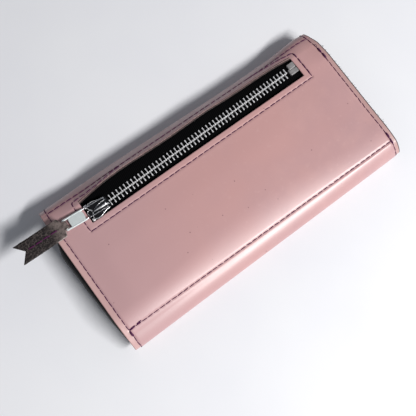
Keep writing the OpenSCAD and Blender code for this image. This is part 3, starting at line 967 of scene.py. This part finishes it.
def rounded_rect(length, width, r):
    out = []
    steps = 5
    for cx, cy, a0 in ((1, 1, 0), (-1, 1, 90), (-1, -1, 180), (1, -1, 270)):
        for k in range(steps + 1):
            a = math.radians(a0 + 90 * k / steps)
            out.append((cx * (length / 2 - r) + r * math.cos(a),
                        cy * (width / 2 - r) + r * math.sin(a)))
    return out


def moved_to_zip(mesh, by=(0.0, 0.0, 0.0)):
    """A (points, faces) pair, moved along the zip's axes and then put on the wallet."""
    return on_zip(mesh[0] + list(by)), mesh[1]


stops = []
for side, at in ((1, 4.7), (-1, -3.7)):
    block = slab_mesh(rounded_rect(2.2, 1.9, 0.4), 14.3, 16.5, 0.2, 0.1)
    stops.append(moved_to_zip(block, (-72.2, at, 0.0)))
place_parts("top_stop_blocks", stops, TEETH, 40, "wallet_body", "zip_metal", "zip_top_stops")

halves = []
for along, at, width, length in ((71.5, 1.95, 3.3, 4.6), (70.9, -1.55, 3.0, 5.6)):
    block = slab_mesh(rounded_rect(length, width, 0.35), 14.3, 16.75, 0.2, 0.05)
    halves.append(moved_to_zip(block, (along, at, 0.0)))
bridge = slab_mesh(rounded_rect(5.2, 1.2, 0.2), 14.4, 16.45, 0.1)
halves.append(moved_to_zip(bridge, (70.8, 0.1, 0.0)))
place_parts("bottom_stop_box", halves, STOP, 40, "wallet_body", "stop_metal", "zip_bottom_stop")


# ---- Slider ----


def mirrored(half):
    """A closed outline from one half, drawn from rear to front."""
    return half + [(s, -t) for s, t in reversed(half)]


def nose_back(s):
    """The slider's front half is drawn a little short."""
    return np.where(s < -66.0, -66.0 + (s + 66.0) * 0.82, s)


def slider():
    rims = []
    plate = smooth_outline(mirrored([(-60.5, 1.9), (-61.0, 3.3), (-64.0, 3.5), (-66.2, 3.9),
                                     (-68.4, 4.95), (-71.4, 5.0), (-73.3, 4.0), (-73.0, 2.6),
                                     (-71.9, 1.1)]), 96)[::-1]
    plate = [(float(nose_back(s)), t) for s, t in plate]
    top = slab_mesh(plate, 17.05, 17.85, 0.26, 0.18)
    low = slab_mesh(plate, 12.95, 13.85, 0.26, 0.0)
    parts = [top, low]
    for side in (1, -1):
        rim = [(-61.6, 3.3), (-64.2, 3.55), (-66.0, 4.1), (-68.2, 4.75), (-71.2, 4.8),
               (-72.9, 4.0)]
        at = np.linspace(0, 1, 26)
        s, t = interpolated(at, np.linspace(0, 1, len(rim)), np.array(rim)).T * [[1], [side]]
        z = 17.72 + 0.32 * np.sin(at * math.pi)
        girth = 0.17 if side > 0 else 0.27
        rims.append(tube(np.column_stack([nose_back(s), t, z]), girth - 0.05 * at, 10))
        lips = [(-61.2, 3.0), (-62.0, 3.0), (-66.0, 4.25), (-66.0, 4.55), (-62.0, 3.45),
                (-61.2, 3.45)]
        lips = [(s, side * t) for s, t in (lips if side < 0 else lips[::-1])]
        parts.append(slab_mesh(lips, 15.95, 17.15, 0.05))
        parts.append(slab_mesh(lips, 13.8, 14.75, 0.05))
    post = mirrored([(-67.0, 0.12), (-67.6, 0.45), (-70.8, 1.25), (-71.3, 0.8)])[::-1]
    parts.append(slab_mesh(post, 13.8, 17.1, 0.08))
    points, faces = joined(parts)
    # The plates take the dark copy of the chrome, a painted dark reflection.
    body = make_mesh("slider_plates", on_zip(points), faces, None, [CHROME_PAINTED_DARK], 38)
    place(body, "slider", "chrome_metal", "slider_body")
    tongue = smooth_outline([(-70.5, -1.6), (-70.5, 1.6), (-72.6, 1.6), (-73.4, 1.1),
                             (-73.4, -1.1), (-72.6, -1.6)], 48, 1)
    tongue_piece = make_mesh("slider_tongue", *moved_to_zip(slab_mesh(tongue, 17.32, 17.8, 0.12)),
                             None, [CHROME_PAINTED_DARK], 38)
    place(tongue_piece, "slider", "chrome_metal")
    rims.append(tube(np.column_stack([tongue, np.full(len(tongue), 17.78)]), 0.13, 8, closed=True))
    # The nose's rounded front edge
    nose = [(-72.9, 4.0), (-73.25, 3.2), (-72.9, 2.2), (-72.2, 1.3), (-71.8, 0.4)]
    for side in (1, -1):
        edge = np.array(nose) * [1, side]
        edge[:, 0] = nose_back(edge[:, 0])
        rims.append(tube(np.column_stack([edge, np.full(5, 17.75)]), 0.2, 8))
    points, faces = joined(rims)
    rim = make_mesh("slider_rims", on_zip(points), faces, None, [CHROME], 60)
    place(rim, "slider", "chrome_metal")

    # The bridge over the puller's bar: narrow at the front, wide at the rear
    u = np.linspace(0, 1, 34)
    s = -71.2 + 10.4 * u
    rise = np.where(u < 0.5, ease(u / 0.5), 1 - ease((u - 0.86) / 0.14))
    z = 17.75 + 2.35 * rise ** 0.8
    half = 0.45 + 0.95 * ease(u / 0.75)
    rows = []
    for across in np.linspace(-1, 1, 11):
        rows.append(on_zip(np.column_stack([s, across * half, z - 0.75 * across ** 2])))
    grid = np.stack(rows)
    bridge_piece = shell("slider_bridge", grid, 0.62, [CHROME_PAINTED_DARK, CHROME, CHROME_PAINTED_DARK], 0.12)
    flanks = []
    for across, girth in ((1.0, 0.12), (-0.84, 0.5)):
        edge = on_zip(np.column_stack([s, across * half, z - 0.75 * across ** 2]))
        flanks.append(tube(edge, girth * (0.25 + 0.75 * ease(u / 0.5)), 8))
    place_parts("slider_bridge_flanks", flanks, CHROME, 60, "slider", "chrome_metal")
    place(bridge_piece, "slider", "chrome_metal", "slider_crown")


slider()


# ---- Puller and pull tab ----


def puller():
    """Two rails between two bars with round ends, and the blank plate between the rails."""
    rail_v = 2.83
    parts = []
    for side in (1, -1):
        u = np.linspace(0.0, PULLER_L, 40)
        bow = rail_v + 0.12 * np.sin(u / PULLER_L * math.pi)
        path = np.column_stack([u, side * bow, np.zeros(40)])
        parts.append(tube(path, 0.26 + 0.3 * ease((u - 11.5) / 2.5), 12))
    for u, r in ((0.0, 0.34), (PULLER_L, 0.56)):
        v = np.linspace(-2.85, 2.85, 12)
        path = np.column_stack([np.full(12, u), v, np.zeros(12)])
        parts.append(tube(path, r, 12))
        for side in (1, -1):
            a = np.linspace(0, 2 * math.pi, 14, endpoint=False)
            ball = np.column_stack([np.full(14, u), np.full(14, side * rail_v), 0 * a])
            ball[:, 2] += np.linspace(-0.5, 0.5, 14)
            round_off = np.sqrt(np.clip(1 - np.linspace(-1, 1, 14) ** 2, 0.03, 1))
            parts.append(tube(ball, (r + 0.02) * round_off, 12, up=(1, 0, 0)))
    plate = smooth_outline([(14.0, -2.9), (21.8, -2.9), (22.1, -1.2), (22.1, 1.2), (21.8, 2.9),
                            (14.0, 2.9), (13.2, 1.4), (13.2, -1.4)], 60, 1)
    parts.append(slab_mesh(plate, -0.42, 0.46, 0.12, 0.03))
    points, faces = joined(parts)
    middle = [np.mean([points[i][0] for i in face]) for face in faces]
    kinds = [int(u < 12.6) for u in middle]
    piece = make_mesh("puller_metal", turned(points, PIVOT, PULLER_ANGLE), faces, kinds,
                      [PLATE, RAIL], 40)
    place(piece, "puller", "chrome_metal", "puller_frame")


puller()


def pull_tab():
    """One strip of leather folded round the puller's end bar and sewn to itself."""
    tab_l, notch = 28.8, 4.6
    path = [(u, 1.12) for u in np.linspace(1.0, 0.16, 30)]
    body = [(2.2 + (tab_l - 2.2) * (t - 0.16) / 0.84, 1.12) for t, _ in path]
    outer = body + [(1.1, 1.36)]
    outer += [(1.42 * math.cos(a), 1.42 * math.sin(a))
              for a in np.linspace(math.radians(80), math.radians(280), 16)]
    outer += [(1.1, -1.36)] + [(u, -z) for u, z in reversed(body)]
    rows = []
    for u, z in outer:
        half = 2.25 + 3.2 * float(ease((u - 0.75) / 1.7)) + 0.08 * float(ease((u - 2.2) / 10))
        v = np.linspace(-1, 1, 25)
        tip = tab_l - notch * (1 - np.abs(v))
        stretch = ease((u - 14.0) / (tab_l - 14.0)) if u > 14 else 0.0
        uu = u + (tip - tab_l) * stretch
        fray = RNG.normal(0, 0.05)
        curl = 0.10 * np.sin(u / 4.0) * (v ** 2) + 0.25 * (u / tab_l) ** 2
        pillow = 0.10 * (1 - v ** 4) * (1 if z > 0 else -1)
        rows.append(np.column_stack([uu, v * (half + fray), z + curl * 0.6 + pillow]))
    grid = np.stack(rows)
    grid = turned(grid.reshape(-1, 3), LOOP, math.pi - TAB_SKEW).reshape(grid.shape)
    piece = shell("pull_tab_strip", grid, 0.98, [TAB, TAB_EDGE, TAB_EDGE], 0.18)
    place(piece, "pull_tab", "tab_leather", "pull_tab_leather")


pull_tab()


# ---- Thread ----


def stitches(path, normals, radius=0.26, lift=0.1, start=0.0):
    """A run of single stitches: short pieces of thread that dive into the leather at both ends."""
    run = distances(path)
    count = int((run[-1] - start) // STITCH_PITCH)
    pitch = (run[-1] - start) / count
    parts = []
    for i in range(count):
        s0 = start + i * pitch + (pitch - STITCH_L) / 2 + RNG.normal(0, 0.08)
        at = np.linspace(s0, s0 + STITCH_L, 9)
        points = interpolated(at, run, path)
        up = interpolated(at, np.linspace(0, run[-1], len(normals)), normals)
        arch = np.sin(np.linspace(0, math.pi, 9)) ** 0.4
        sway = np.cross(np.gradient(points, axis=0), up)
        sway /= np.maximum(np.linalg.norm(sway, axis=1, keepdims=True), 1e-9)
        slant = np.linspace(-1, 1, 9)[:, None] * RNG.normal(0.0, 0.09)
        height = (lift + radius * 0.8) * arch - radius * 0.8
        points = points + up * height[:, None] + sway * slant
        girth = radius * (0.75 + 0.25 * arch) * (1 + RNG.normal(0, 0.05))
        parts.append(tube(points, girth, 8, up=up.mean(axis=0)))
    return parts


cover_normals = grid_normals(cover)


def column_at(x):
    return int(np.argmin(np.abs(cover_x - x)))


def seam_piece(name, parts, body, *nodes):
    place_parts(name, parts, THREAD, 60, body, "plum_thread", *nodes)


def edge_seam(side, word):
    column = column_at(side * EDGE_SEAM_X)
    rows = [r for r in range(cover.shape[0]) if cover[r, column, 1] < FLAP_END_Y - 0.6
            or r > PAST_FRONT_ROW]
    path, up = cover[rows, column], cover_normals[rows, column]
    parts = even_stitches(path, up)
    back = path[:, 2] > MID_Z
    if side > 0:
        for low, high, girth in ((23.5, 33.5, 0.62), (-39.5, -30.5, 0.56)):
            doubled = back & (path[:, 1] > low) & (path[:, 1] < high)
            parts += even_stitches(path[doubled] + [0.12, 0.0, 0.0], up[doubled], radius=girth,
                                   lift=0.25)
        end = path[back & (path[:, 1] > 30.5) & (path[:, 1] < 33.6)][-1]
        tail = end + np.array([[0, 0, 0.2], [0.5, 0.9, 0.7], [0.2, 1.7, 0.9], [-0.5, 2.1, 0.6]])
        parts.append(tube(tail, 0.16, 6))
    else:
        doubled = back & (path[:, 1] < -34.5) & (path[:, 1] > -39.5)
        parts += even_stitches(path[doubled], up[doubled], radius=0.6, lift=0.3)
    seam_piece(f"stitch_{word}_thread", parts, UPPER_BEND, f"stitch_{word}_edge")


def even_stitches(path, up, **options):
    """Stitches on a path whose points aren't evenly spaced."""
    run = distances(path)
    at = np.linspace(0, run[-1], max(20, int(run[-1] / 0.35)))
    return stitches(interpolated(at, run, path), interpolated(at, run, up), **options)


edge_seam(-1, "left")
edge_seam(1, "right")


def edge_fibres():
    """Loose fibres along the right raw edge."""
    parts = []
    for _ in range(46):
        y = RNG.uniform(-34, 34)
        start = np.array([HALF_L - 0.15, y, float(back_z(HALF_L, y)) - RNG.uniform(0.3, 1.1)])
        lean = np.array([RNG.uniform(0.5, 1.0), RNG.uniform(-0.7, 0.7), RNG.uniform(-0.2, 0.4)])
        reach = RNG.uniform(0.4, 1.5)
        path = [start + lean * reach * t + [0, 0.25 * math.sin(3 * t), 0]
                for t in np.linspace(0, 1, 5)]
        parts.append(tube(np.array(path), 0.08, 5))
    place_parts("edge_fibres", parts, DARK_EDGE, 60, "wallet_body", "pink_leather")


edge_fibres()


def row_path(row, low, high):
    """Part of a grid row between two places along X."""
    inside_x = (cover_x >= low) & (cover_x <= high)
    return cover[row, inside_x], cover_normals[row, inside_x]


def row_near(y, x=0.0):
    """The back panel's row that is nearest to y."""
    back = [r for r in range(BACK_ROW, cover.shape[0]) if cover[r, column_at(x), 2] > MID_Z + 2]
    return min(back, key=lambda r: abs(cover[r, column_at(x), 1] - y))


bottom_row = row_near(-36.0)
path, up = row_path(bottom_row, -EDGE_SEAM_X, EDGE_SEAM_X)
parts = even_stitches(path, up)
doubled, up = row_path(bottom_row, -EDGE_SEAM_X, -EDGE_SEAM_X + 9)
doubled = doubled + np.column_stack([0 * doubled[:, 0], 0.12 * (doubled[:, 0] + EDGE_SEAM_X),
                                     0 * doubled[:, 0]])
parts += even_stitches(doubled, up, radius=0.62, lift=0.3)
seam_piece("stitch_bottom_thread", parts, "wallet_body", "stitch_bottom_seam")

top_row = row_near(TOP_SEAM_Y)
path, up = row_path(top_row, -EDGE_SEAM_X + 0.5, EDGE_SEAM_X - 0.5)
seam_piece("stitch_top_thread", even_stitches(path, up), UPPER_BEND, "stitch_top_seam")


def on_cover(x, y):
    """Points and normals of the back panel's outer face, for seams that cross the grid."""
    z = back_z(x, y) + back_grooves(x, y)
    points = rounded_corner(np.column_stack([x, y, z]))
    step = 0.05
    slope_x = (back_z(x + step, y) - back_z(x - step, y)) / (2 * step)
    slope_y = (back_z(x, y + step) - back_z(x, y - step)) / (2 * step)
    up = np.column_stack([-slope_x, -slope_y, np.ones(len(points))])
    return points, up / np.linalg.norm(up, axis=1, keepdims=True)


def window_top_seam():
    """From the left side, round the corner, close above the window and down to the right side.
    In the middle it shares the top seam's holes."""
    x = np.concatenate([[-77.6, -77.5, -76.9, -75.8], np.linspace(-73.5, -44.0, 40)])
    y = np.concatenate([[36.5, 38.3, 39.2, 39.4], 39.5 + 2.0 * ease((x[4:] + 70.0) / 26.0)])
    parts = even_stitches(*on_cover(x, y))
    x = np.linspace(46.0, 77.6, 40)
    y = 41.7 - 2.9 * ((x - 46.0) / 31.6) ** 1.7
    return parts + even_stitches(*on_cover(x, y))


parts = even_stitches(*row_path(row_near(WINDOW_SEAM_Y), -WINDOW_SEAM_X, WINDOW_SEAM_X))
for side in (-1, 1):
    column = column_at(side * WINDOW_SEAM_X)
    rows = [r for r in range(row_near(WINDOW_SEAM_Y, 77), cover.shape[0])
            if cover[r, column, 1] < (38.9 if side > 0 else 36.6)]
    path, up = cover[rows, column], cover_normals[rows, column]
    parts += even_stitches(path, up)
    if side > 0:
        parts += even_stitches(path, up, radius=0.36, lift=0.3, start=1.9)
parts += window_top_seam()
seam_piece("stitch_window_thread", parts, "wallet_body", "stitch_window")

flap_normals = grid_normals(flap)


def flap_seam():
    """One seam round the flap, 3.5 mm inside its edge, and over the lower half of the fold."""
    r, inset = 10.5, 3.5
    x0, y0 = HALF_L - inset, FLAP_END_Y + inset
    a = np.linspace(0, math.pi / 2, 14)
    corner = np.column_stack([x0 - r + r * np.cos(a), y0 + r - r * np.sin(a)])
    half = np.concatenate([[[x0, FOLD_START_Y - 1.0]], corner, [[0.0, y0]]])
    path = np.concatenate([half, (half[::-1] * [-1, 1])[1:]])
    path = np.column_stack([path, np.full(len(path), 0.22)])
    down = np.tile([0.0, 0.0, -1.0], (len(path), 1))
    seam_piece("stitch_flap_thread", even_stitches(path, down, lift=0.02), "flap", "stitch_flap")
    parts = []
    for side in (-1, 1):
        column = int(np.argmin(np.abs(flap[0, :, 0] - side * EDGE_SEAM_X)))
        parts += even_stitches(flap[1:25, column], flap_normals[1:25, column], lift=0.0)
    seam_piece("stitch_fold_thread", parts, "flap_fold", "stitch_flap_fold")


flap_seam()

tab_path = np.column_stack([np.linspace(4.5, 23.0, 60), np.zeros(60), np.full(60, 1.36)])
tab_path = turned(tab_path, LOOP, math.pi - TAB_SKEW)
seam_piece("stitch_tab_thread", stitches(tab_path, np.tile([0.0, 0.0, 1.0], (60, 1)), radius=0.38),
           "pull_tab", "stitch_pull_tab")


# ---- Snap, and the metal that stays as the CAD made it ----


def turned_part(name, profile, z, body, node):
    """A round part from a profile of (radius, height) points, turned about the snap's axis."""
    sides = 48
    points, faces = [], []
    for r, h in profile:
        for k in range(sides):
            a = 2 * math.pi * k / sides
            points.append((SNAP_AT[0] + r * math.cos(a), SNAP_AT[1] + r * math.sin(a), z + h))
    n = len(profile)
    for i in range(n):
        faces += band(i * sides, (i + 1) % n * sides, sides)
    place(make_mesh(name, points, faces, None, [SNAP], 35), body, "snap_metal", node)


FLAP_IN_Z = 1.8
turned_part("snap_socket_ring", [(3.3, 0.0), (3.5, -0.05), (4.4, 0.25), (6.2, 0.1), (6.9, 0.25),
                                 (7.0, 0.5), (7.0, 1.4), (3.3, 1.4)], FRONT_Z, "wallet_body",
            "snap_socket")
turned_part("snap_stud_button", [(0.3, 1.3), (2.3, 1.3), (2.75, 1.1), (2.8, 0.35), (3.4, 0.05),
                                 (5.4, 0.08), (6.7, -0.1), (6.85, -0.65), (0.3, -0.65)],
            FLAP_IN_Z, "flap", "snap_stud")

for name in ("snap_socket_washer", "snap_stud_washer"):
    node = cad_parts[name]
    node.data.materials.clear()
    node.data.materials.append(SNAP)


# ---- Floor, light and camera ----


def floor():
    look = Look("floor_paper", (0.80, 0.81, 0.84), 0.6)
    look.patches((0.74, 0.75, 0.80), 9, 3, 0.4, 0.7, 0.6)
    look.raise_by(look.noise(300, 3), 0.02)
    size = 3000.0
    points = [(-size, -size, 0.0), (size, -size, 0.0), (size, size, 0.0), (-size, size, 0.0)]
    make_mesh("floor", points, [(0, 1, 2, 3)], None, [look.material])


def area_light(name, toward, distance, size, power, color=(1.0, 1.0, 1.0)):
    """A window-like light, wide by high, that shines at the middle of the wallet."""
    lamp = bpy.data.lights.new(name, "AREA")
    lamp.shape = "RECTANGLE"
    lamp.size, lamp.size_y = size
    lamp.energy = power
    lamp.color = color
    light = bpy.data.objects.new(name, lamp)
    bpy.context.scene.collection.objects.link(light)
    direction = Vector(toward).normalized()
    light.location = direction * distance
    light.rotation_euler = direction.to_track_quat("Z", "Y").to_euler()


floor()
area_light("key", (0.30, -0.62, 0.72), 1.2, (0.76, 0.1), 18.1, (1.0, 0.985, 0.97))

world = bpy.data.worlds.new("studio")
bpy.context.scene.world = world
world.use_nodes = True
sky = world.node_tree
up_down = sky.nodes.new("ShaderNodeSeparateXYZ")
sky.links.new(sky.nodes.new("ShaderNodeTexCoord").outputs["Generated"], up_down.inputs["Vector"])
dim = sky.nodes.new("ShaderNodeMapRange")
for socket, value in (("From Min", 0.25), ("From Max", 0.95), ("To Min", 0.42), ("To Max", 0.09)):
    dim.inputs[socket].default_value = value
sky.links.new(up_down.outputs["Z"], dim.inputs["Value"])
background = sky.nodes["Background"]
background.inputs["Color"].default_value = (0.90, 0.93, 1.0, 1.0)
sky.links.new(dim.outputs["Result"], background.inputs["Strength"])

CAMERA_AT = Vector((-71.5, -36.7, TOP_Z + 313.0)) * MM
CAMERA_VIEW = Vector((0.16620, 0.09434, -0.98157)).normalized()
CAMERA_UP = Vector((0.57646, 0.79831, 0.17433))

camera_data = bpy.data.cameras.new("camera")
camera_data.lens = 50.0
camera_data.sensor_width = 36.0
camera_data.clip_start = 0.01
camera = bpy.data.objects.new("camera", camera_data)
bpy.context.scene.collection.objects.link(camera)
right = CAMERA_VIEW.cross(CAMERA_UP).normalized()
up_axis = right.cross(CAMERA_VIEW)
turn = Matrix((right, up_axis, -CAMERA_VIEW)).transposed().to_4x4()
camera.matrix_world = Matrix.Translation(CAMERA_AT) @ turn
bpy.context.scene.camera = camera
bpy.context.scene.view_settings.view_transform = "Standard"
